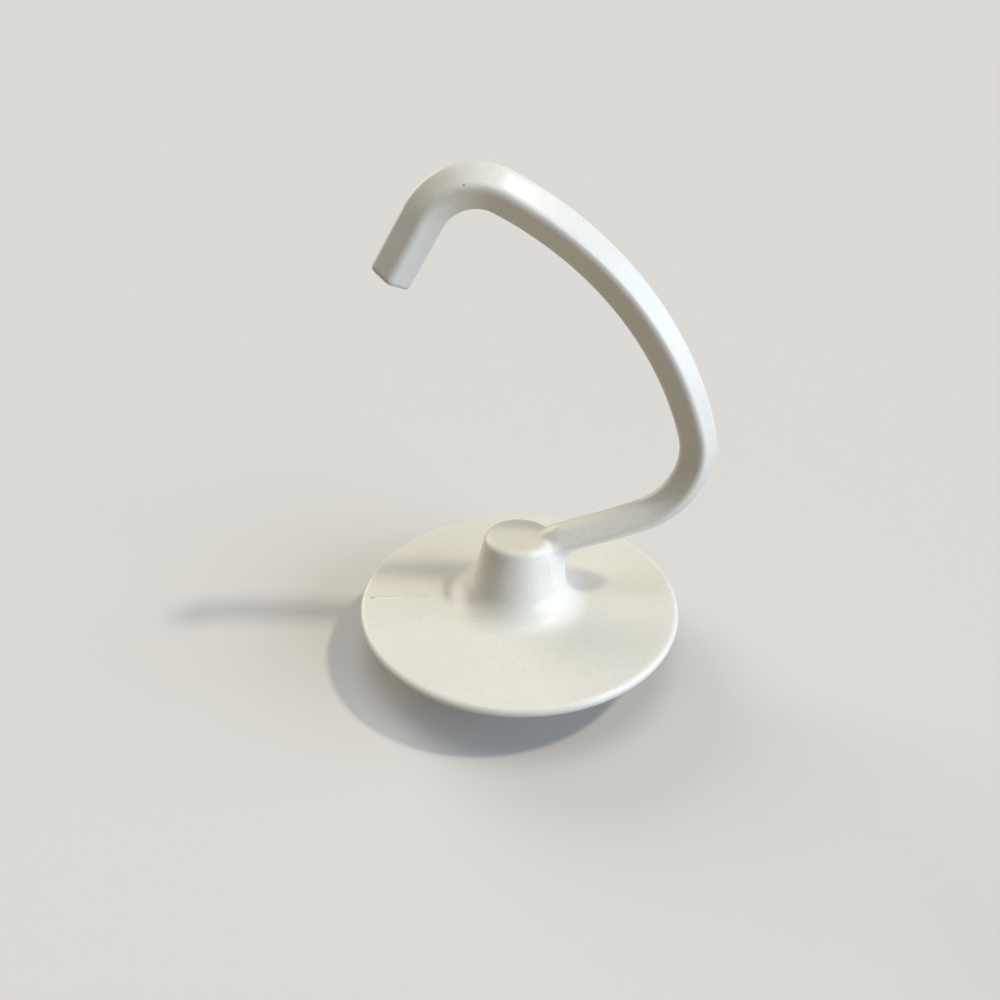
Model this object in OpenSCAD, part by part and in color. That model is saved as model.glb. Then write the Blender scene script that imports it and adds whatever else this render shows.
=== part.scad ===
// Dough hook for a stand mixer: one aluminium casting with a white coating.
// A bent bar leaves the hub of a round disc, and the mixer's shaft goes into the sleeve below the disc.
// The hook stands on the sleeve's mouth. The origin is the centre of that mouth, +Z runs up the bore
// to the hub, and the whole arm lies in the XZ plane, where the two halves of the mould met.

/* [Disc] */
// Diameter of the disc that keeps the dough from climbing the shaft
disc_d = 100; // [80:1:130]
// Thickness of the disc at its rim, which is fully rounded
rim_t = 3.2; // [2.4:0.1:5]
// How much each face of the disc rises from the rim to the middle
disc_crown = 0.7; // [0.2:0.1:1.5]

/* [Hub] */
// Height of the hub's flat top above the top of the disc's rim
hub_h = 22.5; // [20:0.5:30]
// Diameter at which the hub's wall would meet its flat top
hub_top_d = 20.4; // [18:0.2:25]
// Slope of the hub's wall from the upright, in degrees
hub_draft = 14.5; // [8:0.5:20]
// Radius of the hub's top edge
hub_edge_r = 1.6; // [0.8:0.1:2.5]
// Radius of the hollow curve from the hub's wall out to the disc
foot_r = 9.5; // [5:0.5:12]

/* [Sleeve and bore] */
// Length of the sleeve from its mouth to the level of the rim's underside
sleeve_l = 17; // [15:0.5:25]
// Outer diameter of the sleeve
sleeve_d = 22; // [20:0.5:26]
// Radius of the hollow curve from the sleeve out to the disc
sleeve_foot_r = 2.5; // [1.5:0.5:4]
// Radius of the sleeve's outer edge at the mouth
mouth_edge_r = 0.8; // [0.4:0.1:1.5]
// Diameter of the bore, which slides on a half inch shaft
bore_d = 12.9; // [12:0.1:14]
// Depth of the blind bore from the mouth
bore_l = 34; // [28:0.5:36]
// Size of the chamfer round the bore's mouth
bore_chamfer = 0.5; // [0.3:0.1:1]
// Width of the slot that catches the shaft's cross pin
slot_w = 5.4; // [4.5:0.1:6]
// Distance from the mouth to the far side of the slot
slot_l = 12.4; // [10:0.1:13]
// Turn of the slot round the sleeve at its far end, in degrees
slot_turn = 35; // [25:1:45]
// How far the round seat at the slot's end is cut past each side of the slot, to hold the pin
seat_relief = 0.3; // [0.2:0.1:0.6]

/* [Bar section] */
// Thickness of the bar over its outer and inner ridges
bar_t = 10.6; // [8.5:0.1:12]
// Breadth of the bar over its two side creases
bar_b = 10.8; // [8.5:0.1:12]
// Radius of the outer and inner ridges
ridge_r = 2.4; // [1.6:0.1:3.2]
// Radius of the side creases
crease_r = 2.2; // [1.6:0.1:3.2]
// Radius of the edge round the cut tip
tip_edge_r = 0.9; // [0.4:0.1:1.4]

/* [Root section] */
// Height of the bar over its centreline where it starts, inside the hub
root_over = 3.1; // [2.5:0.1:3.5]
// Depth of the bar under its centreline where it leaves the hub
root_under = 4.1; // [3.5:0.1:5.3]
// Radius of the outer and inner ridges where the bar leaves the hub
root_ridge_r = 4.8; // [3:0.1:5]
// Distance along the bar at which its top has come up to full height
crest_l = 14; // [11:0.5:18]
// Distance along the bar at which its section has tapered to the bar's own
taper_l = 44; // [34:1:52]
// Radius of the hollow curves at the sides, where the bar runs into the hub's wall
side_blend_r = 8; // [4:0.5:9]
// Radius of the hollow curve under the bar, where it runs into the hub's wall
under_blend_r = 6; // [4:0.5:7]

/* [Bar path] */
// Distance from the hub's axis at which the bar starts to rise
root_run = 3.1; // [2:0.1:4]
// Depth of the bar's top below the hub's top where it starts
root_sink = 0.4; // [0.3:0.1:0.8]
// Radius of the bend that lifts the bar off the hub
root_bend_r = 30; // [22:1:38]
// Slope of the bar above the level where it leaves the hub, in degrees
root_rise = 13.4; // [10:0.1:17]
// Length of the nearly straight shank
shank_l = 28.9; // [24:0.1:34]
// Turn of the shank over its length, in degrees
shank_a = 8.3; // [5:0.1:11]
// Radius of the low bend at the hook's widest place
low_bend_r = 22; // [17:0.5:28]
// Turn of the low bend, in degrees
low_bend_a = 86.5; // [80:0.5:92]
// Radius of the long bow that leads up to the top
bow_r = 111; // [95:1:130]
// Turn of the long bow, in degrees
bow_a = 44.5; // [38:0.5:50]
// Radius of the crook at the top
crook_r = 14.8; // [11:0.1:20]
// Turn of the crook, in degrees
crook_a = 85; // [75:0.5:95]
// Length of the straight tip past the crook
tip_l = 17.7; // [12:0.1:25]

/* [Hidden] */
coating = "#ece9df";

// Steps of the turned surfaces, of profile corners, of the section's corners and facets, and of the path's bends
turned_steps = 96;
corner_steps = 10;
section_steps = 4;
facet_steps = 3;
bend_step_a = 4;
bow_steps = 24;
root_steps = 10;
shank_steps = 22;
tip_steps = 4;
// Exponent that crowds the shank's stations towards the hub, where the section changes fastest
shank_crowd = 1.3;
// How far a cut runs past the face it opens
overrun = 1;
// Share of each root blend that is drawn, so that it meets the hub at a clean angle
blend_share = 0.96;
// Share of its radius by which the blend under the bar runs straight on, down the wall and into the hub's foot
blend_run_on = 0.6;

// Levels above the sleeve's mouth
rim_low_z = sleeve_l;
rim_top_z = sleeve_l + rim_t;
hub_z = rim_top_z + hub_h;
bar_z = hub_z - root_sink - root_over;

// Slopes of the turned profile as directions in radius and height
disc_r = disc_d / 2;
disc_top_way = [-disc_r, disc_crown];
disc_under_way = [-disc_r, -disc_crown];
hub_way = [-sin(hub_draft), cos(hub_draft)];

function cross2(a, b) = a[0] * b[1] - a[1] * b[0];
// Where the line through p along u meets the line through q along v
function meet(p, u, q, v) = p + u * cross2(q - p, v) / cross2(u, v);
function unit(v) = v / norm(v);
// An outline's corner p between its neighbours, drawn as an arc of radius r
function rounded_corner(before, p, after, r) =
    let (
        u = unit(before - p),
        v = unit(after - p),
        half = acos(u * v) / 2,
        centre = p + unit(u + v) * r / sin(half),
        from = p + u * r / tan(half) - centre,
        side = sign(cross2(u, v)),
        turn = -side * (180 - 2 * half)
    )
    [for (k = [0 : corner_steps])
        let (a = atan2(from[1], from[0]) + turn * k / corner_steps)
        centre + r * [cos(a), sin(a)]];
// An outline from rows of [radius from the axis, height, corner radius], where 0 keeps a sharp corner
function rounded_outline(rows) =
    let (n = len(rows), at = [for (row = rows) [row[0], row[1]]])
    [for (i = [0 : n - 1])
        each rows[i][2] == 0 ? [at[i]]
            : rounded_corner(at[(i + n - 1) % n], at[i], at[(i + 1) % n], rows[i][2])];

// Corners of the turned profile that lie on two slopes
hub_corner = [hub_top_d / 2, hub_z];
foot_corner = meet([disc_r, rim_top_z], disc_top_way, hub_corner, hub_way);
sleeve_corner = meet([disc_r, rim_low_z], disc_under_way, [sleeve_d / 2, 0], [0, sleeve_l]);

// Radius of the hub's wall at a level
function hub_r_at(z) = hub_top_d / 2 + (hub_z - z) * tan(hub_draft);

// Each leg of the bar's centreline is [length, turn in degrees, steps, exponent that spaces the steps]
function arc_l(r, turn) = r * turn * PI / 180;
function bend(r, turn) = [arc_l(r, turn), turn, ceil(turn / bend_step_a), 1];
legs = [
    [root_run, 0, 1, 1],
    [arc_l(root_bend_r, root_rise), root_rise, root_steps, 1],
    [shank_l, shank_a, shank_steps, shank_crowd],
    bend(low_bend_r, low_bend_a),
    [arc_l(bow_r, bow_a), bow_a, bow_steps, 1],
    bend(crook_r, crook_a),
    [tip_l - tip_edge_r, 0, 1, 1]
];
// A station is [x, z, heading above the level, distance from the hub's axis along the bar]
function along(from, leg, share) =
    let (
        run = leg[0] * share,
        turn = leg[1] * share,
        chord = turn == 0 ? run : run * sin(turn / 2) / (turn * PI / 360)
    )
    [from[0] + chord * cos(from[2] + turn / 2), from[1] + chord * sin(from[2] + turn / 2),
        from[2] + turn, from[3] + run];
function leg_start(i) = i == 0 ? [0, bar_z, 0, 0] : along(leg_start(i - 1), legs[i - 1], 1);
starts = [for (i = [0 : len(legs)]) leg_start(i)];
bar_end = starts[len(legs)];
stations = [
    for (i = [0 : len(legs) - 1], k = [0 : legs[i][2] - 1])
        along(starts[i], legs[i], pow(k / legs[i][2], legs[i][3]))
];

// The blend at each side of the root is an arc that touches the hub's wall and the bar's side
side_blend_l = sqrt(pow(hub_r_at(bar_z) + side_blend_r, 2) - pow(bar_b / 2 + side_blend_r, 2));
side_blend_reach = blend_share * side_blend_l * side_blend_r / (hub_r_at(bar_z) + side_blend_r);
// The blend under the root is an arc that touches the lower ridge and the hub's wall
under_corner = meet([starts[2][0], starts[2][1]] + root_under * [sin(root_rise), -cos(root_rise)],
    [cos(root_rise), sin(root_rise)], hub_corner, hub_way);
under_angle = 90 + root_rise - hub_draft;
under_blend_l = under_corner[0] / cos(root_rise) + under_blend_r / tan(under_angle / 2);
under_blend_reach = blend_share * under_blend_r * sin(180 - under_angle);
// How far an arc of radius r has left its line at a distance d before its end.
// Past its reach it runs straight on, over a share of its radius.
function arc_rise(r, d, reach, run_on) =
    let (
        e = max(0, min(d, reach)),
        past = max(0, min(d - reach, run_on * r)),
        h = sqrt(pow(r, 2) - pow(e, 2))
    )
    r - h + past * e / h;
// A size at a distance d along the bar that changes smoothly from its value at the root to its own
function tapered(d, root_size, size, from, to) =
    let (s = max(0, min(1, (d - from) / (to - from))))
    root_size + (size - root_size) * s * s * (3 - 2 * s);

// A quarter of the bar's section in [outward, sideways]: a ridge, a flat facet and a side crease.
// The facet is the line that touches the ridge's circle and the crease's circle.
function quarter(out, side, ridge_at, crease_at, inset) =
    let (
        ridge = ridge_at - inset,
        crease = crease_at - inset,
        u = out - ridge_at,
        v = side - crease_at,
        facet_a = atan2(u, v) + asin((ridge - crease) / norm([u, v])),
        from = [u + ridge * cos(facet_a), ridge * sin(facet_a)],
        to = [crease * cos(facet_a), v + crease * sin(facet_a)]
    )
    concat(
        [for (k = [0 : section_steps])
            let (a = facet_a * k / section_steps)
            [u + ridge * cos(a), ridge * sin(a)]],
        [for (k = [1 : facet_steps - 1]) from + (to - from) * k / facet_steps],
        [for (k = [0 : section_steps])
            let (a = facet_a + (90 - facet_a) * k / section_steps)
            [crease * cos(a), v + crease * sin(a)]]
    );
function reversed(list) = [for (i = [len(list) - 1 : -1 : 0]) list[i]];
function without_ends(list) = [for (i = [1 : len(list) - 2]) list[i]];
// The whole section, from its outer ridge round by +Y, with its own depth to the outer and inner ridge.
// The flare widens the section to each side and rounds its outer half by as much.
function section(outer, inner, ridge_at, flare, inset) =
    let (
        side = bar_b / 2 + flare,
        a = quarter(outer, side, ridge_at + flare, crease_r + flare, inset),
        b = [for (p = reversed(quarter(inner, side, ridge_at, crease_r, inset))) [-p[0], p[1]]],
        half = concat(a, [for (i = [1 : len(b) - 1]) b[i]])
    )
    concat(half, [for (p = without_ends(reversed(half))) [p[0], -p[1]]]);
// A ring of points round the bar at a station. The outer side of the bar is its underside at the root.
function ring(at, inset) =
    let (
        d = at[3],
        outer = tapered(d, root_under, bar_t / 2, crest_l, taper_l)
            + arc_rise(under_blend_r, under_blend_l - d, under_blend_reach, blend_run_on),
        inner = tapered(d, root_over, bar_t / 2, root_run, crest_l),
        ridge_at = tapered(d, root_ridge_r, ridge_r, crest_l, taper_l),
        flare = arc_rise(side_blend_r, side_blend_l - d, side_blend_reach, 0)
    )
    [for (p = section(outer, inner, ridge_at, flare, inset))
        [at[0] + p[0] * sin(at[2]), p[1], at[1] - p[0] * cos(at[2])]];

// The turned part of the casting: sleeve, disc and hub in one profile
module turned_body() {
    rotate_extrude($fn = turned_steps)
        polygon(rounded_outline([
            [0, 0, 0],
            [sleeve_d / 2, 0, mouth_edge_r],
            [sleeve_corner[0], sleeve_corner[1], sleeve_foot_r],
            [disc_r, rim_low_z, rim_t / 2],
            [disc_r, rim_top_z, rim_t / 2],
            [foot_corner[0], foot_corner[1], foot_r],
            [hub_corner[0], hub_corner[1], hub_edge_r],
            [0, hub_z, 0]
        ]));
}

// The bent bar, from inside the hub to its cut tip
module bar() {
    tip_rings = [
        for (k = [0 : tip_steps])
            let (a = 90 * k / tip_steps)
            ring(along(bar_end, [tip_edge_r, 0], sin(a)), tip_edge_r * (1 - cos(a)))
    ];
    rings = concat([for (at = stations) ring(at, 0)], tip_rings);
    points = [for (r = rings) each r];
    n = len(rings[0]);
    last = len(rings) - 1;
    walls = [
        for (i = [0 : last - 1], k = [0 : n - 1])
            let (a = i * n + k, b = i * n + (k + 1) % n)
            each norm(points[a] - points[b + n]) < norm(points[b] - points[a + n])
                ? [[a, b + n, b], [a, a + n, b + n]]
                : [[a, a + n, b], [b, a + n, b + n]]
    ];
    polyhedron(
        points = points,
        faces = concat([[for (k = [0 : n - 1]) k]], walls, [[for (k = [n - 1 : -1 : 0]) last * n + k]])
    );
}

// The blind bore for the mixer's shaft, open at the mouth
module bore() {
    translate([0, 0, -overrun])
        cylinder(d = bore_d, h = bore_l + overrun, $fn = turned_steps);
    translate([0, 0, -overrun])
        cylinder(r1 = bore_d / 2 + bore_chamfer + overrun, r2 = bore_d / 2,
            h = bore_chamfer + overrun, $fn = turned_steps);
}

// The L shaped slot through the sleeve's wall: up from the mouth, then round to the pin's seat
module pin_slot() {
    seat_z = slot_l - slot_w / 2;
    reach = sleeve_d / 2 + overrun;
    translate([-slot_w / 2, 0, -overrun])
        cube([slot_w, reach, seat_z + overrun]);
    rotate_extrude(angle = slot_turn, start = 90, $fn = turned_steps)
        translate([0, slot_l - slot_w])
            square([reach, slot_w]);
    for (end = [[0, slot_w], [slot_turn, slot_w + 2 * seat_relief]])
        rotate([0, 0, end[0]])
            translate([0, 0, seat_z])
                rotate([-90, 0, 0])
                    cylinder(d = end[1], h = reach, $fn = turned_steps);
}

module dough_hook() {
    color(coating)
        difference() {
            union() {
                turned_body();
                bar();
            }
            bore();
            pin_slot();
        }
}

dough_hook();
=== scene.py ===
"""Looks of a stand mixer's dough hook, one aluminium casting with a baked cream coating.

The casting is a main piece that follows rules, so Geometry Nodes draw it. Its tree works out how far each
point of space is from the hook's surface, and lays a mesh where that distance is nothing. It replaces the
CAD node. A second tree lays the seam of the mould over the disc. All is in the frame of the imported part.
"""

import math
from types import SimpleNamespace

import bpy
from mathutils import Matrix, Vector


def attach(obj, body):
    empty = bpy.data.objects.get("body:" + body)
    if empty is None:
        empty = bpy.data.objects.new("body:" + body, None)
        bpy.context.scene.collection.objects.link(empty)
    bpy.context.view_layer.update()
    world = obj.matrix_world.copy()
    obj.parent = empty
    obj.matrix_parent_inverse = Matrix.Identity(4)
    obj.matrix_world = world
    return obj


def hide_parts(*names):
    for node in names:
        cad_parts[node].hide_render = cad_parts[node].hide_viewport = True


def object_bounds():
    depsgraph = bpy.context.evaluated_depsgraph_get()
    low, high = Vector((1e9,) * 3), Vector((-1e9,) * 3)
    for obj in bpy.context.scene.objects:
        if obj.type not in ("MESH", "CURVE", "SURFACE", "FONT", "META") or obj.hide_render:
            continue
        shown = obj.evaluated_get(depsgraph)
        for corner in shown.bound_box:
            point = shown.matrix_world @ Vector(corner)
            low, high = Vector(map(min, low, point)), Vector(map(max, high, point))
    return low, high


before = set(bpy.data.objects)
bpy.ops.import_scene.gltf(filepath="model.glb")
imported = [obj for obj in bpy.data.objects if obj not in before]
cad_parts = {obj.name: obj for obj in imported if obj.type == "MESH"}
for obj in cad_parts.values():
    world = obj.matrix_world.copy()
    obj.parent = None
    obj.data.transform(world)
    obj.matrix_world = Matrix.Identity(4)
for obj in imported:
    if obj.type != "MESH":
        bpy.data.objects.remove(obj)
cad_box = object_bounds()

NODE = "dough_hook"
BODY = "root"

# The hook's driving sizes in millimetres and degrees, each with the name of its input in the casting's tree
SIZES = {
    "disc_d": ("Disc diameter", 100.0),
    "rim_t": ("Rim thickness", 3.2),
    "disc_crown": ("Disc crown", 0.35),
    "disc_roof": ("Rise of the disc to the seam", 0.35),
    "hub_h": ("Hub height over the rim", 22.5),
    "hub_top_d": ("Hub top diameter", 20.4),
    "hub_draft": ("Hub draft", 14.5),
    "hub_edge_r": ("Hub edge radius", 2.2),
    "foot_r": ("Hub foot radius", 9.5),
    "sleeve_l": ("Sleeve length", 17.0),
    "sleeve_d": ("Sleeve diameter", 22.0),
    "sleeve_foot_r": ("Sleeve foot radius", 2.5),
    "mouth_edge_r": ("Mouth edge radius", 0.8),
    "bore_d": ("Bore diameter", 12.9),
    "bore_l": ("Bore depth", 34.0),
    "bore_chamfer": ("Bore chamfer", 0.5),
    "slot_w": ("Slot width", 5.4),
    "slot_l": ("Slot depth", 12.4),
    "slot_turn": ("Slot turn", 35.0),
    "seat_relief": ("Pin seat relief", 0.3),
    "cut_edge_r": ("Edge radius of the bore and slot", 0.4),
    "bar_t": ("Bar thickness", 10.6),
    "bar_b": ("Bar breadth", 10.8),
    "ridge_r": ("Ridge radius", 2.4),
    "crease_r": ("Crease radius", 1.8),
    "tip_edge_r": ("Tip edge radius", 1.2),
    "root_over": ("Bar height at the root", 3.1),
    "root_under": ("Bar depth at the root", 4.1),
    "root_ridge_r": ("Ridge radius at the root", 4.8),
    "root_sink": ("Sink of the bar's top at the root", 0.4),
    "root_run": ("Level run of the bar", 3.1),
    "root_bend_r": ("Root bend radius", 30.0),
    "root_rise": ("Root bend turn", 13.4),
    "root_join_r": ("Softening where bar and hub meet", 2.4),
    "crest_l": ("Crest length", 14.0),
    "taper_l": ("Taper length", 44.0),
    "side_blend_r": ("Side blend radius", 8.0),
    "under_blend_r": ("Under blend radius", 6.0),
    "shank_l": ("Shank length", 28.9),
    "shank_a": ("Shank turn", 8.3),
    "low_bend_r": ("Low bend radius", 22.0),
    "low_bend_a": ("Low bend turn", 86.5),
    "bow_r": ("Bow radius", 111.0),
    "bow_a": ("Bow turn", 44.5),
    "crook_r": ("Crook radius", 14.8),
    "crook_a": ("Crook turn", 85.0),
    "tip_l": ("Tip length", 17.6),
}
# Sizes of the seam that the mould's halves left over the disc, at y = 0
SEAM_SIZES = {
    "seam_w": ("Seam width", 0.7),
    "left_h": ("Seam height at the left", 0.17),
    "left_from": ("Seam start at the left", 27.0),
    "left_to": ("Seam end at the left", 47.4),
    "right_h": ("Seam height at the right", 0.07),
    "right_from": ("Seam start at the right", 31.0),
    "right_to": ("Seam end at the right", 48.0),
}
ANGLES = ("hub_draft", "slot_turn", "root_rise", "shank_a", "low_bend_a", "bow_a", "crook_a")
SIZE = {key: value for key, (label, value) in SIZES.items()}

# Metres in a millimetre, from the disc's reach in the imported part
MM = -cad_box[0].x / (SIZE["disc_d"] / 2)
RIM_TOP = SIZE["sleeve_l"] + SIZE["rim_t"]
# Share of each root blend that is drawn before the bar goes into the hub, and the share of its radius by
# which the blend under the bar then runs straight on, down the hub's wall
BLEND_SHARE = 0.96
BLEND_RUN_ON = 0.6
# The softening where bar and hub meet fades between these depths under the hub's flat top, to this share
FADE_FROM = 6.0
FADE_TO = 0.5
FADE_SHARE = 0.12

# The grid that the casting is drawn in: its cell, its margin, and how often its points are moved onto the
# surface. Beside the bar lies only the flat disc, so the cells in a band at each side are longer
CELL = 0.53
MARGIN = 1.5
SETTLING_STEPS = 4
BAND_START = 14.0
BAND_CELLS_L = 16.0
BAND_STRETCH = 2.0

# The seam's line: points along it, points round it, waves in a millimetre, how far it wanders aside, how
# much it swells, its thinnest share, how fast it rises at its ends, and how thin it is there
SEAM_POINTS = 90
SEAM_ROUND_POINTS = 12
SEAM_WAVES = 0.8
SEAM_WANDER = 0.3
SEAM_SWELL = 1.6
SEAM_THINNEST = 0.4
SEAM_END_SLOPE = 12
SEAM_END = 0.02

# The unevenness of the coating: waves in a millimetre, detail and roughness of each noise. The grain is
# drawn about twice as coarse as the casting's own, which would be too fine to show
UNEVENNESS = {
    "cloud": (0.045, 2.0, 0.5),
    "mottle": (0.9, 3.0, 0.6),
    "peel": (0.32, 1.0, 0.5),
    "grain": (1.3, 3.0, 0.6),
}
# Height of the peel and of the grain, and depth of the darkest mark, in millimetres
PEEL_H = 0.045
GRAIN_H = 0.022
MARK_DEPTH = 0.12
# Marks, in millimetres: centre, half length along the seam, radius, and how dark each is. All are pits
# in the coating but one, a painted shadow along the seam's far side.
# The core is the share of its radius in which a mark is at its darkest
MARKS = [
    ((-13.6, -5.2, 142.4), 0.0, 0.45, 0.6),
    ((29.4, -3.1, 118.3), 0.0, 0.35, 0.3),
    ((-0.4, -35.2, 20.4), 0.0, 0.45, 0.17),
    ((9.6, -31.3, 20.4), 0.0, 0.4, 0.15),
    ((-46.4, 0.1, 20.6), 0.0, 0.75, 0.42),
    # Painted shadow: a dark line along the seam's far side
    ((-42.0, 0.45, 20.6), 4.3, 0.38, 0.3),
]
MARK_CORE = 0.35
# Specks of soot: cells in a millimetre, radius in cells, and the share of the cells that have none
SPECK_CELLS = 0.25
SPECK_R = 0.045
SPECK_FREE = 0.72
# Places with a tone of their own, or with painted shade or a painted highlight, in millimetres. A reach
# says where the tone begins and where it is full.
# The worn outer side of the crook, with its centre in x and z
WORN_CENTRE = (-15.0, 152.0)
WORN_REACH = (20.0, 6.0)
# The hub's flat top, where shade is painted, from the hub's axis outward, and the heights between which
# the painted shade stays
HUB_SHADE_REACH = (10.2, 7.0)
TOP_Z = (30.0, 60.0)
# The disc's top, under a height and outside the hub's foot, and its far half over the seam, where shade
# is painted
DISC_TOP_Z = 24.0
DISC_FROM_R = 16.0
FAR_HALF_SHADE_REACH = (-0.6, 0.8)
# The stretch beside the seam where a highlight is painted, with its centre in x and y
SEAM_HIGHLIGHT_CENTRE = (-41.5, -0.35)
SEAM_HIGHLIGHT_HALF_L = 3.5
SEAM_HIGHLIGHT_REACH = (0.9, 0.1)

# The photo's view: turn round the hook, then pitch, yaw and roll in degrees, the eye's place in millimetres
# before that turn, the focal length as a share of the sensor's width, and that width
VIEW_TURN = 3.87
VIEW_AIM = (30.31, -1.67, -0.48)
EYE = (0.0, -191.6, 167.0)
FOCAL_SHARE = 0.751
SENSOR_W = 36.0
# Half the floor's side, in metres
FLOOR_HALF = 40.0

# Lamps: direction, spread in degrees, strength and colour
LAMPS = {
    "window_patch": ((0.55, -0.13, 0.82), 4.8, 1.04, "#fff3de"),
    "window_right": ((1, -0.1, 0.25), 37, 1.35, "#c3dbfc"),
    "window_front": ((0.8, -0.6, 0.3), 37, 1.95, "#d2e1fb"),
    "ceiling": ((0, 0, 1), 37, 0.88, "#e3ecf6"),
    "back_wall": ((-0.6, 0.75, 0.5), 37, 1.25, "#fdf5ea"),
}


def add_node(tree, kind, inputs=None, **settings):
    """Adds a node, sets it up, and links or fills its inputs, which are given by name or number."""
    node = tree.nodes.new(kind)
    for name, value in settings.items():
        setattr(node, name, value)
    for name, value in (inputs or {}).items():
        if isinstance(value, bpy.types.NodeSocket):
            tree.links.new(value, node.inputs[name])
        else:
            node.inputs[name].default_value = value
    return node


class Amount:
    """A number in a node tree. Arithmetic on it adds Math nodes, so that formulas stay readable."""

    def __init__(self, tree, socket):
        self.tree = tree
        self.socket = socket

    def calc(self, operation, *others):
        terms = [term.socket if isinstance(term, Amount) else term for term in (self, *others)]
        node = add_node(self.tree, "ShaderNodeMath", dict(enumerate(terms)), operation=operation)
        return Amount(self.tree, node.outputs[0])

    def __add__(self, other):
        return self.calc("ADD", other)

    def __sub__(self, other):
        return self.calc("SUBTRACT", other)

    def __mul__(self, other):
        return self.calc("MULTIPLY", other)

    def __truediv__(self, other):
        return self.calc("DIVIDE", other)

    def __neg__(self):
        return self.calc("MULTIPLY", -1)

    def __rsub__(self, other):
        return -self + other

    __radd__ = __add__
    __rmul__ = __mul__

    def __abs__(self):
        return self.calc("ABSOLUTE")

    def __lt__(self, other):
        return self.calc("LESS_THAN", other)

    def __gt__(self, other):
        return self.calc("GREATER_THAN", other)

    def root(self):
        return self.calc("SQRT")

    def sin(self):
        return self.calc("SINE")

    def cos(self):
        return self.calc("COSINE")


def least(first, *others):
    for other in others:
        first = first.calc("MINIMUM", other)
    return first


def most(first, *others):
    for other in others:
        first = first.calc("MAXIMUM", other)
    return first


def span(a, b):
    """Length of the straight line over two legs at a right angle."""
    return (a * a + b * b).root()


def choose(condition, if_true, if_false):
    """One number where a condition holds, which is then 1, and another where it is 0."""
    return if_false + (if_true - if_false) * condition


def eased(value, start, end, first=0, last=1):
    """A size that goes smoothly from one to another while a value goes from start to end."""
    share = most(least((value - start) / (end - start), 1), 0)
    return first + (last - first) * (share * share * (3 - share * 2))


def soft_join(a, b, r):
    """Two forms as one, with a hollow curve of radius r where they meet."""
    return most(least(a, b), r) - span(most(r - a, 0), most(r - b, 0))


def soft_edge(a, b, r):
    """What two forms have in common, with its edge rounded to radius r."""
    return least(most(a, b), -r) + span(most(a + r, 0), most(b + r, 0))


def straight_sided(x, y, first, first_r, second, second_r):
    """How far a point is outside the line that touches two circles, and the circles past its ends."""
    over = (second[0] - first[0], second[1] - first[1])
    length = span(*over)
    way = (over[0] / length, over[1] / length)
    lean = (first_r - second_r) / length
    rest = (1 - lean * lean).root()
    out = (way[1] * rest + way[0] * lean, way[1] * lean - way[0] * rest)
    on = (way[0] * rest - way[1] * lean, way[1] * rest + way[0] * lean)
    a = (x - first[0], y - first[1])
    b = (x - second[0], y - second[1])
    face = a[0] * out[0] + a[1] * out[1] - first_r
    short = choose(a[0] * on[0] + a[1] * on[1] < 0, span(*a) - first_r, face)
    return choose(b[0] * on[0] + b[1] * on[1] > 0, span(*b) - second_r, short)


def turned_body(size, y, z, r):
    """Sleeve, disc and hub: the disc thins a little to its rim and to each side of the mould's seam."""
    zero = z * 0
    middle_z = size.sleeve_l + size.rim_t / 2
    rim_r = size.rim_t / 2
    disc_r = size.disc_d / 2
    roof = size.disc_roof * (1 - most(least(abs(y) / disc_r, 1), 0))
    disc = straight_sided(r, abs(z - middle_z) - roof,
        (disc_r - rim_r, zero), rim_r, (zero, zero), rim_r + size.disc_crown)
    hub_z = size.sleeve_l + size.rim_t + size.hub_h
    slope = size.hub_draft.sin() / size.hub_draft.cos()
    wall = (r - size.hub_top_d / 2 - (hub_z - z) * slope) * size.hub_draft.cos()
    hub = soft_edge(wall, z - hub_z, size.hub_edge_r * (1 - size.hub_draft.sin()))
    above = most(soft_join(disc, hub, size.foot_r * (1 - size.hub_draft.sin())), middle_z - z)
    sleeve = soft_edge(r - size.sleeve_d / 2, -z, size.mouth_edge_r)
    below = most(soft_join(disc, sleeve, size.sleeve_foot_r), z - middle_z)
    return least(above, below)


def nearest_on_straight(x, z, start, length, starts_here=True, ends_here=True):
    """The nearest point on a straight of the centreline. Past the bar's own two ends the line goes on."""
    along = (x - start.x) * start.heading.cos() + (z - start.z) * start.heading.sin()
    if starts_here:
        along = most(along, 0)
    if ends_here:
        along = least(along, length)
    return place_on_path(x, z, start.x + start.heading.cos() * along,
        start.z + start.heading.sin() * along, start.heading, start.run + along)


def nearest_on_bend(x, z, start, bend_r, turn):
    """The nearest point on a bend of the bar's centreline."""
    centre_x = start.x - start.heading.sin() * bend_r
    centre_z = start.z + start.heading.cos() * bend_r
    from_x = x - centre_x
    from_z = z - centre_z
    forward = from_x * start.heading.cos() + from_z * start.heading.sin()
    outward = from_x * start.heading.sin() - from_z * start.heading.cos()
    turned = least(most(forward.calc("ARCTAN2", outward), 0), turn)
    heading = start.heading + turned
    return place_on_path(x, z, centre_x + heading.sin() * bend_r,
        centre_z - heading.cos() * bend_r, heading, start.run + turned * bend_r)


def place_on_path(x, z, path_x, path_z, heading, run):
    """What the section needs to know of the path's nearest point: how near, how far outward and along."""
    return SimpleNamespace(
        near=span(x - path_x, z - path_z),
        outward=(x - path_x) * heading.sin() - (z - path_z) * heading.cos(),
        run=run,
    )


def after_straight(start, length):
    return SimpleNamespace(
        x=start.x + start.heading.cos() * length,
        z=start.z + start.heading.sin() * length,
        heading=start.heading,
        run=start.run + length,
    )


def after_bend(start, bend_r, turn):
    heading = start.heading + turn
    return SimpleNamespace(
        x=start.x + (heading.sin() - start.heading.sin()) * bend_r,
        z=start.z + (start.heading.cos() - heading.cos()) * bend_r,
        heading=heading,
        run=start.run + turn * bend_r,
    )


def nearer(first, second):
    closer = second.near < first.near
    return SimpleNamespace(
        near=choose(closer, second.near, first.near),
        outward=choose(closer, second.outward, first.outward),
        run=choose(closer, second.run, first.run),
    )


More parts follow.
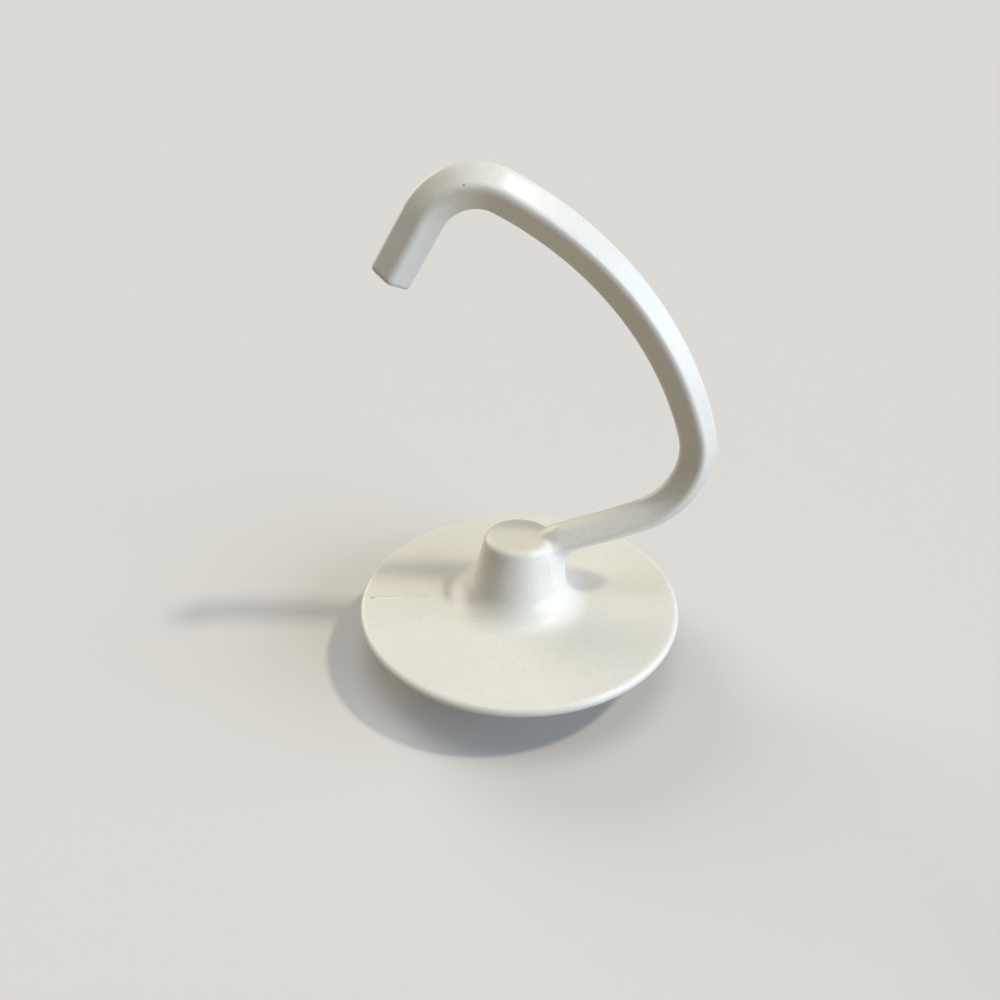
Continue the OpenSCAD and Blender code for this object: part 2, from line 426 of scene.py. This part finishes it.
def hollow_curve(r, distance, reach, run_on):
    """How far an arc has left its line at a distance before its end, and what share its slope leaves."""
    way = least(most(distance, 0), reach)
    height = (r * r - way * way).root()
    past = least(most(distance - reach, 0), r * run_on)
    return r - height + past * way / height, height / r


def bar_section(size, root, side, place):
    """The bar's own section: a ridge, a flat facet and a side crease in each quarter."""
    under = eased(place.run, size.crest_l, size.taper_l, size.root_under, size.bar_t / 2)
    drop, drop_share = hollow_curve(size.under_blend_r, root.under_blend_l - place.run,
        root.under_reach, BLEND_RUN_ON)
    outer = under + drop
    inner = eased(place.run, size.root_run, size.crest_l, size.root_over, size.bar_t / 2)
    ridge = eased(place.run, size.crest_l, size.taper_l, size.root_ridge_r, size.ridge_r)
    flare, flare_share = hollow_curve(size.side_blend_r, root.side_blend_l - place.run,
        root.side_reach, 0)
    half_b = size.bar_b / 2 + flare
    zero = side * 0
    outer_side = straight_sided(place.outward, side,
        (outer - ridge - flare, zero), ridge + flare,
        (zero, half_b - size.crease_r - flare), size.crease_r + flare)
    inner_side = straight_sided(-place.outward, side,
        (inner - ridge, zero), ridge,
        (zero, half_b - size.crease_r), size.crease_r)
    # Where the section grows along the bar, its surface is nearer than it is in the section's own plane
    downward = most(place.outward, 0)
    under_part = downward * downward / (place.outward * place.outward + side * side + 1e-6)
    return choose(place.outward > 0, outer_side, inner_side) * (
        drop_share * under_part + flare_share * (1 - under_part))


def root_blends(size, start):
    """Where the hollow curves at the bar's sides and under it begin, as lengths along the bar."""
    draft = size.hub_draft
    hub_z = size.sleeve_l + size.rim_t + size.hub_h
    hub_r = size.hub_top_d / 2 + (hub_z - start.z) * draft.sin() / draft.cos()
    half_b = size.bar_b / 2 + size.side_blend_r
    side_blend_l = ((hub_r + size.side_blend_r) * (hub_r + size.side_blend_r) - half_b * half_b).root()
    rise = size.root_rise
    bend_end = after_bend(after_straight(start, size.root_run), size.root_bend_r, rise)
    low_x = bend_end.x + size.root_under * rise.sin()
    low_z = bend_end.z - size.root_under * rise.cos()
    # The lower ridge's line and the hub's wall meet where both have gone the same way up
    gap_x = size.hub_top_d / 2 - low_x
    gap_z = hub_z - low_z
    back = (gap_x * draft.cos() + gap_z * draft.sin()) / (rise - draft).cos()
    corner_x = low_x + back * rise.cos()
    half_angle = (rise - draft + math.pi / 2) / 2
    return SimpleNamespace(
        side_blend_l=side_blend_l,
        side_reach=side_blend_l * size.side_blend_r / (hub_r + size.side_blend_r) * BLEND_SHARE,
        under_blend_l=corner_x / rise.cos() + size.under_blend_r * half_angle.cos() / half_angle.sin(),
        under_reach=size.under_blend_r * (half_angle * 2).sin() * BLEND_SHARE,
    )


def bent_bar(size, x, y, z):
    """The bar: its section swept along straights and tangent bends, and its cut tip."""
    hub_z = size.sleeve_l + size.rim_t + size.hub_h
    zero = z * 0
    start = SimpleNamespace(x=zero, z=hub_z - size.root_sink - size.root_over, heading=zero, run=zero)
    root = root_blends(size, start)
    place = nearest_on_straight(x, z, start, size.root_run, starts_here=False)
    here = after_straight(start, size.root_run)
    bends = [
        (size.root_bend_r, size.root_rise),
        (size.shank_l / size.shank_a, size.shank_a),
        (size.low_bend_r, size.low_bend_a),
        (size.bow_r, size.bow_a),
        (size.crook_r, size.crook_a),
    ]
    for bend_r, turn in bends:
        place = nearer(place, nearest_on_bend(x, z, here, bend_r, turn))
        here = after_bend(here, bend_r, turn)
    place = nearer(place, nearest_on_straight(x, z, here, size.tip_l, ends_here=False))
    section = bar_section(size, root, abs(y), place)
    return most(soft_edge(section, place.run - here.run - size.tip_l, size.tip_edge_r), -place.run)


def bore_and_slot(size, x, y, z, r):
    """The shaft's bore with its chamfer, and the L shaped slot for the cross pin with a wider seat."""
    bore_r = size.bore_d / 2
    chamfer = (r + z - bore_r - size.bore_chamfer) * math.sqrt(0.5)
    bore = least(most(r - bore_r, z - size.bore_l), chamfer)
    seat_z = size.slot_l - size.slot_w / 2
    way_up = most(span(x, most(z - seat_z, 0)) - size.slot_w / 2, -y)
    turn = size.slot_turn
    aside = x * turn.cos() + y * turn.sin()
    ahead = y * turn.cos() - x * turn.sin()
    seat = most(span(aside, z - seat_z) - size.slot_w / 2 - size.seat_relief, -ahead)
    way_round = most(abs(z - seat_z) - size.slot_w / 2, x, -aside)
    return least(bore, way_up, seat, way_round)


def new_tree(name, sizes):
    """An empty tree with a named input for each size."""
    tree = bpy.data.node_groups.new(name, "GeometryNodeTree")
    for key, (label, value) in sizes.items():
        socket = tree.interface.new_socket(label, in_out="INPUT", socket_type="NodeSocketFloat")
        socket.default_value = math.radians(value) if key in ANGLES else value
    return tree


def distance_tree():
    """How far a place is from the hook's surface in millimetres, negative inside it."""
    tree = new_tree("Distance from the hook", SIZES)
    tree.interface.new_socket("Place", in_out="INPUT", socket_type="NodeSocketVector")
    tree.interface.new_socket("Distance", in_out="OUTPUT", socket_type="NodeSocketFloat")
    given = add_node(tree, "NodeGroupInput")
    axes = add_node(tree, "ShaderNodeSeparateXYZ", {"Vector": given.outputs["Place"]})
    x, y, z = (Amount(tree, axes.outputs[axis]) for axis in "XYZ")
    r = span(x, y)
    size = SimpleNamespace(**{
        key: Amount(tree, given.outputs[label]) for key, (label, value) in SIZES.items()})
    # The join is broad down the hub's wall and narrow at its flat top
    hub_z = size.sleeve_l + size.rim_t + size.hub_h
    join_r = eased(z, hub_z - FADE_FROM, hub_z - FADE_TO, size.root_join_r, size.root_join_r * FADE_SHARE)
    solid = soft_join(turned_body(size, y, z, r), bent_bar(size, x, y, z), join_r)
    hook = soft_edge(solid, -bore_and_slot(size, x, y, z, r), size.cut_edge_r)
    add_node(tree, "NodeGroupOutput", {"Distance": hook.socket})
    return tree


def stretched_place(tree):
    """The grid's own place, drawn out beside the bar, where only the flat disc needs points."""
    place = add_node(tree, "GeometryNodeInputPosition")
    axes = add_node(tree, "ShaderNodeSeparateXYZ", {"Vector": place.outputs["Position"]})
    y = Amount(tree, axes.outputs["Y"])
    in_band = least(most(abs(y) - BAND_START, 0), BAND_CELLS_L)
    real_y = y + y.calc("SIGN") * in_band * (BAND_STRETCH - 1)
    return add_node(tree, "ShaderNodeCombineXYZ", {
        "X": axes.outputs["X"],
        "Y": real_y.socket,
        "Z": axes.outputs["Z"],
    }).outputs["Vector"]


def casting_tree(material):
    """The casting: a mesh laid where the distance is nothing, its points moved onto the surface."""
    distance = distance_tree()
    tree = new_tree("Coated casting of the hook", SIZES)
    tree.interface.new_socket("Geometry", in_out="OUTPUT", socket_type="NodeSocketGeometry")
    given = add_node(tree, "NodeGroupInput")
    sizes = {label: given.outputs[label] for label, value in SIZES.values()}
    low = Vector(c / MM - MARGIN for c in cad_box[0])
    high = Vector(c / MM + MARGIN for c in cad_box[1])
    shorter = BAND_CELLS_L * (BAND_STRETCH - 1)
    low.y += shorter
    high.y -= shorter
    cells = [math.ceil((b - a) / CELL) + 1 for a, b in zip(low, high)]
    far = add_node(tree, "GeometryNodeGroup", {**sizes, "Place": stretched_place(tree)},
        node_tree=distance)
    inside = -Amount(tree, far.outputs["Distance"])
    block = add_node(tree, "GeometryNodeVolumeCube", {
        "Density": inside.socket,
        "Background": -MARGIN,
        "Min": low,
        "Max": high,
        "Resolution X": cells[0],
        "Resolution Y": cells[1],
        "Resolution Z": cells[2],
    })
    skin = add_node(tree, "GeometryNodeVolumeToMesh", {
        "Volume": block.outputs["Volume"],
        "Threshold": 0.0,
    }, resolution_mode="GRID")
    drawn_out = add_node(tree, "GeometryNodeSetPosition", {
        "Geometry": skin.outputs["Mesh"],
        "Position": stretched_place(tree),
    })
    shape = drawn_out.outputs["Geometry"]
    for step in range(SETTLING_STEPS):
        here = add_node(tree, "GeometryNodeInputPosition")
        off = add_node(tree, "GeometryNodeGroup", {**sizes, "Place": here.outputs["Position"]},
            node_tree=distance)
        back = -Amount(tree, off.outputs["Distance"])
        normal = add_node(tree, "GeometryNodeInputNormal")
        move = add_node(tree, "ShaderNodeVectorMath", {
            0: normal.outputs["Normal"],
            "Scale": back.socket,
        }, operation="SCALE")
        shape = add_node(tree, "GeometryNodeSetPosition", {
            "Geometry": shape,
            "Offset": move.outputs["Vector"],
        }).outputs["Geometry"]
    finish(tree, shape, material)
    return tree


def seam_line(tree, start, end, height, width, side):
    """One side of the seam: a low ridge on the disc's top, as uneven as such a flash is."""
    line = add_node(tree, "GeometryNodeCurvePrimitiveLine")
    points = add_node(tree, "GeometryNodeResampleCurve", {
        "Curve": line.outputs["Curve"],
        "Count": SEAM_POINTS,
    })
    share = Amount(tree, add_node(tree, "GeometryNodeSplineParameter").outputs["Factor"])
    r = start + (end - start) * share
    slope = SIZE["disc_crown"] / (SIZE["disc_d"] / 2 - SIZE["rim_t"] / 2)
    top = r * -slope + SIZE["disc_crown"] + SIZE["disc_roof"] + RIM_TOP
    uneven = add_node(tree, "ShaderNodeTexNoise", {
        "W": (r * side).socket,
        "Scale": SEAM_WAVES,
        "Detail": 3.0,
    }, noise_dimensions="1D")
    wave = Amount(tree, uneven.outputs["Fac"]) - 0.5
    spot = add_node(tree, "ShaderNodeCombineXYZ", {
        "X": (r * side).socket,
        "Y": (wave * SEAM_WANDER).socket,
        "Z": top.socket,
    })
    path = add_node(tree, "GeometryNodeSetPosition", {
        "Geometry": points.outputs["Curve"],
        "Position": spot.outputs["Vector"],
    })
    ends = least(share * (1 - share) * SEAM_END_SLOPE, 1).root()
    girth = add_node(tree, "GeometryNodeSetCurveRadius", {
        "Curve": path.outputs["Geometry"],
        "Radius": (most(wave * SEAM_SWELL + 1, SEAM_THINNEST) * ends + SEAM_END).socket,
    })
    upright = add_node(tree, "GeometryNodeSetCurveNormal", {"Curve": girth.outputs["Curve"]}, mode="Z_UP")
    ring = add_node(tree, "GeometryNodeCurvePrimitiveCircle", {"Resolution": SEAM_ROUND_POINTS})
    flat = add_node(tree, "ShaderNodeCombineXYZ", {
        "X": (width / 2).socket,
        "Y": height.socket,
        "Z": 1.0,
    })
    outline = add_node(tree, "GeometryNodeTransform", {
        "Geometry": ring.outputs["Curve"],
        "Scale": flat.outputs["Vector"],
    })
    return add_node(tree, "GeometryNodeCurveToMesh", {
        "Curve": upright.outputs["Curve"],
        "Profile Curve": outline.outputs["Geometry"],
        "Scale": add_node(tree, "GeometryNodeInputRadius").outputs["Radius"],
        "Fill Caps": True,
    }).outputs["Mesh"]


def seam_tree(material):
    """The seam of the mould over the disc, at both sides of the hub."""
    tree = new_tree("Seam of the mould", SEAM_SIZES)
    tree.interface.new_socket("Geometry", in_out="OUTPUT", socket_type="NodeSocketGeometry")
    given = add_node(tree, "NodeGroupInput")
    size = SimpleNamespace(**{
        key: Amount(tree, given.outputs[label]) for key, (label, value) in SEAM_SIZES.items()})
    both = add_node(tree, "GeometryNodeJoinGeometry")
    tree.links.new(seam_line(tree, size.left_from, size.left_to, size.left_h, size.seam_w, -1),
        both.inputs["Geometry"])
    tree.links.new(seam_line(tree, size.right_from, size.right_to, size.right_h, size.seam_w, 1),
        both.inputs["Geometry"])
    finish(tree, both.outputs["Geometry"], material)
    return tree


def finish(tree, shape, material):
    """The last nodes of each tree: to metres, smooth, real and coated."""
    in_metres = add_node(tree, "GeometryNodeTransform", {"Geometry": shape, "Scale": (MM, MM, MM)})
    smooth = add_node(tree, "GeometryNodeSetShadeSmooth", {"Geometry": in_metres.outputs["Geometry"]})
    realized = add_node(tree, "GeometryNodeRealizeInstances", {"Geometry": smooth.outputs["Geometry"]})
    coated = add_node(tree, "GeometryNodeSetMaterial", {
        "Geometry": realized.outputs["Geometry"],
        "Material": material,
    })
    add_node(tree, "NodeGroupOutput", {"Geometry": coated.outputs["Geometry"]})


def built_by(tree, name, material):
    """A plain mesh object with what a tree makes, its place in the mesh."""
    holder = bpy.data.objects.new(name, bpy.data.meshes.new(name))
    bpy.context.scene.collection.objects.link(holder)
    modifier = holder.modifiers.new(tree.name, "NODES")
    modifier.node_group = tree
    for item in tree.interface.items_tree:
        if item.in_out == "INPUT" and item.socket_type == "NodeSocketFloat":
            modifier[item.identifier] = item.default_value
    made = bpy.data.meshes.new_from_object(holder.evaluated_get(bpy.context.evaluated_depsgraph_get()))
    holder.modifiers.remove(modifier)
    holder.data = made
    made.name = name
    made.materials.clear()
    made.materials.append(material)
    return holder


def linear(colour):
    """A hex colour as written for the screen, as the linear numbers that Blender reads."""
    shares = (int(colour[i:i + 2], 16) / 255 for i in (1, 3, 5))
    return (*(s / 12.92 if s <= 0.04045 else ((s + 0.055) / 1.055) ** 2.4 for s in shares), 1.0)


def mark_shade(x, y, z):
    """How dark each place is from the pits and the painted seam shadow, 0 for the clean coating."""
    shade = x * 0
    for centre, half_l, r, dark in MARKS:
        away = span(span(most(abs(x - centre[0]) - half_l, 0), y - centre[1]), z - centre[2])
        shade = most(shade, eased(away, r, r * MARK_CORE, 0, dark))
    return shade


def baked_coating():
    """Baked cream coating over cast aluminium.

    It gives the eye a warm off white with a satin gloss and, over it, a faint crisper one. The grain of the
    casting shows through as a fine peel. The tone shifts a little from place to place, the crook has gone
    yellower with use, and there are a few dark pits. Shade is painted on the hub's top, on the disc's far
    half and beside the seam, and a highlight is painted along the seam's near side.
    """
    material = bpy.data.materials.new("baked_cream_coating")
    material.use_nodes = True
    tree = material.node_tree
    shader = tree.nodes["Principled BSDF"]
    coords = add_node(tree, "ShaderNodeTexCoord")
    place = add_node(tree, "ShaderNodeMapping", {
        "Vector": coords.outputs["Object"],
        "Scale": (1 / MM, 1 / MM, 1 / MM),
    }).outputs["Vector"]
    axes = add_node(tree, "ShaderNodeSeparateXYZ", {"Vector": place})
    x, y, z = (Amount(tree, axes.outputs[axis]) for axis in "XYZ")
    uneven = {}
    for name, (scale, detail, roughness) in UNEVENNESS.items():
        noise = add_node(tree, "ShaderNodeTexNoise", {
            "Vector": place,
            "Scale": scale,
            "Detail": detail,
            "Roughness": roughness,
        })
        uneven[name] = Amount(tree, noise.outputs["Fac"])
    cloud, mottle, peel, grain = uneven.values()
    pits_and_seam_shade = mark_shade(x, y, z)

    # Specks of soot under the coating, in about one cell of four
    cells = add_node(tree, "ShaderNodeTexVoronoi", {
        "Vector": place,
        "Scale": SPECK_CELLS,
    })
    cell_axes = add_node(tree, "ShaderNodeSeparateXYZ", {"Vector": cells.outputs["Color"]})
    near_middle = Amount(tree, cells.outputs["Distance"]) < SPECK_R
    speck = near_middle * (Amount(tree, cell_axes.outputs["X"]) > SPECK_FREE)

    # The crook's outer side, where hands and dough have worn the coating, and painted shade on the hub's
    # top
    from_crook = span(x - WORN_CENTRE[0], (z - WORN_CENTRE[1]) * 0.8)
    worn = eased(from_crook + (cloud - 0.5) * 12, *WORN_REACH) * (mottle * 0.8 + 0.2)
    hub_top_shade = eased(span(x, y) + (cloud - 0.5) * 3, *HUB_SHADE_REACH) * (z > TOP_Z[0]) * (z < TOP_Z[1])

    # Painted shade makes the half of the disc behind the seam darker and yellower, coming in more slowly at
    # the right, and a painted highlight lies white along the seam's near edge
    on_disc = (z < DISC_TOP_Z) * (span(x, y) > DISC_FROM_R)
    far_half_shade = eased((y + (mottle - 0.5) * 2) / ((x > 0) * 5 + 1), *FAR_HALF_SHADE_REACH) * on_disc
    # Painted highlight: a white band along the seam's near side
    past_seam_highlight = most(abs(x - SEAM_HIGHLIGHT_CENTRE[0]) - SEAM_HIGHLIGHT_HALF_L, 0)
    seam_highlight = eased(span(y - SEAM_HIGHLIGHT_CENTRE[1], past_seam_highlight * 0.5), *SEAM_HIGHLIGHT_REACH) * on_disc

    # Each tone goes over the ones before it, as far as its share says
    tones = [
        ("#e7e5d7", cloud * 1.6 - 0.3),
        ("#dacfae", worn * 0.5),
        # Painted shade on the hub's top and on the disc's far half, and a painted highlight by the seam
        ("#c8bf9b", hub_top_shade * 0.32),
        ("#d9d1b4", far_half_shade * 0.2),
        ("#f6f6f0", seam_highlight * 0.6),
        ("#d8d2c0", (mottle - 0.5) * 0.9 + 0.14),
        # Pits, specks of soot, and the painted shadow beside the seam
        ("#5d564a", most(pits_and_seam_shade, speck * 0.35)),
    ]
    colour = linear("#ecebe2")
    for tone, share in tones:
        colour = add_node(tree, "ShaderNodeMix", {
            "Factor": share.socket,
            6: colour,
            7: linear(tone),
        }, data_type="RGBA").outputs[2]
    tree.links.new(colour, shader.inputs["Base Color"])
    tree.links.new((peel * 0.08 + mottle * 0.08 + worn * 0.06 + 0.3).socket, shader.inputs["Roughness"])
    shader.inputs["IOR"].default_value = 1.5
    shader.inputs["Coat Weight"].default_value = 0.15
    shader.inputs["Coat Roughness"].default_value = 0.15
    height = (grain - 0.5) * GRAIN_H + (peel - 0.5) * PEEL_H - pits_and_seam_shade * MARK_DEPTH
    bump = add_node(tree, "ShaderNodeBump", {
        "Height": height.socket,
        "Distance": MM,
    })
    tree.links.new(bump.outputs["Normal"], shader.inputs["Normal"])
    return material


def seen_and_lit(tree, seen, lit):
    """A colour that the camera and gloss show, and the one that soft light takes on its way to the hook."""
    ray = add_node(tree, "ShaderNodeLightPath")
    shown = [Amount(tree, ray.outputs["Is %s Ray" % way]) for way in ("Camera", "Glossy", "Transmission")]
    return add_node(tree, "ShaderNodeMix", {
        "Factor": most(*shown).socket,
        6: linear(lit),
        7: linear(seen),
    }, data_type="RGBA").outputs[2]


def pale_floor_material():
    """A plain pale floor that throws no more light up at the hook than a wooden table top does."""
    material = bpy.data.materials.new("plain_pale_floor")
    material.use_nodes = True
    tree = material.node_tree
    shader = tree.nodes["Principled BSDF"]
    tree.links.new(seen_and_lit(tree, "#e0dfd9", "#958c7e"), shader.inputs["Base Color"])
    shader.inputs["Roughness"].default_value = 0.8
    shader.inputs["Specular IOR Level"].default_value = 0.0
    return material


def floor():
    """A wide plain floor under the sleeve's mouth."""
    ways = ((-1, -1), (1, -1), (1, 1), (-1, 1))
    corners = [(x * FLOOR_HALF, y * FLOOR_HALF, 0) for x, y in ways]
    mesh = bpy.data.meshes.new("floor")
    mesh.from_pydata(corners, [], [(0, 1, 2, 3)])
    mesh.materials.append(pale_floor_material())
    made = bpy.data.objects.new("floor", mesh)
    bpy.context.scene.collection.objects.link(made)
    return made


def camera():
    """The photo's view: above the hook and in front, with the bar's plane turned a little to the eye."""
    pitch, yaw, roll = (math.radians(a) for a in VIEW_AIM)
    turn = Matrix.Rotation(-math.radians(VIEW_TURN), 3, "Z")
    place = turn @ Vector(EYE)
    level = Vector((math.sin(yaw), math.cos(yaw), 0))
    ahead = turn @ (level * math.cos(pitch) - Vector((0, 0, math.sin(pitch))))
    right = turn @ Vector((math.cos(yaw), -math.sin(yaw), 0))
    up = right.cross(ahead)
    tilt = Matrix.Rotation(roll, 3, -ahead)
    data = bpy.data.cameras.new("camera")
    data.lens = SENSOR_W * FOCAL_SHARE
    data.sensor_width = SENSOR_W
    data.clip_start = 0.01
    made = bpy.data.objects.new("camera", data)
    axes = Matrix((tilt @ right, tilt @ up, -ahead)).transposed()
    made.matrix_world = Matrix.Translation(place * MM) @ axes.to_4x4()
    bpy.context.scene.collection.objects.link(made)
    bpy.context.scene.camera = made


def light():
    """A wide window at the right, a patch of it that casts the shadows, and weak light from the room."""
    world = bpy.data.worlds.new("plain_room")
    world.use_nodes = True
    tree = world.node_tree
    room = tree.nodes["Background"]
    tree.links.new(seen_and_lit(tree, "#dbdad4", "#5e574d"), room.inputs["Color"])
    bpy.context.scene.world = world
    for name, (direction, spread, strength, colour) in LAMPS.items():
        data = bpy.data.lights.new(name, "SUN")
        data.angle = math.radians(spread)
        data.energy = strength
        data.color = linear(colour)[:3]
        made = bpy.data.objects.new(name, data)
        made.rotation_mode = "QUATERNION"
        made.rotation_quaternion = (-Vector(direction)).to_track_quat("-Z", "Y")
        bpy.context.scene.collection.objects.link(made)


coating = baked_coating()
casting = built_by(casting_tree(coating), "dough_hook_casting", coating)
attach(casting, BODY)
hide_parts(NODE)
seam = built_by(seam_tree(coating), "mould_seam", coating)
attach(seam, BODY)
floor()
camera()
light()
bpy.context.scene.view_settings.view_transform = "Standard"
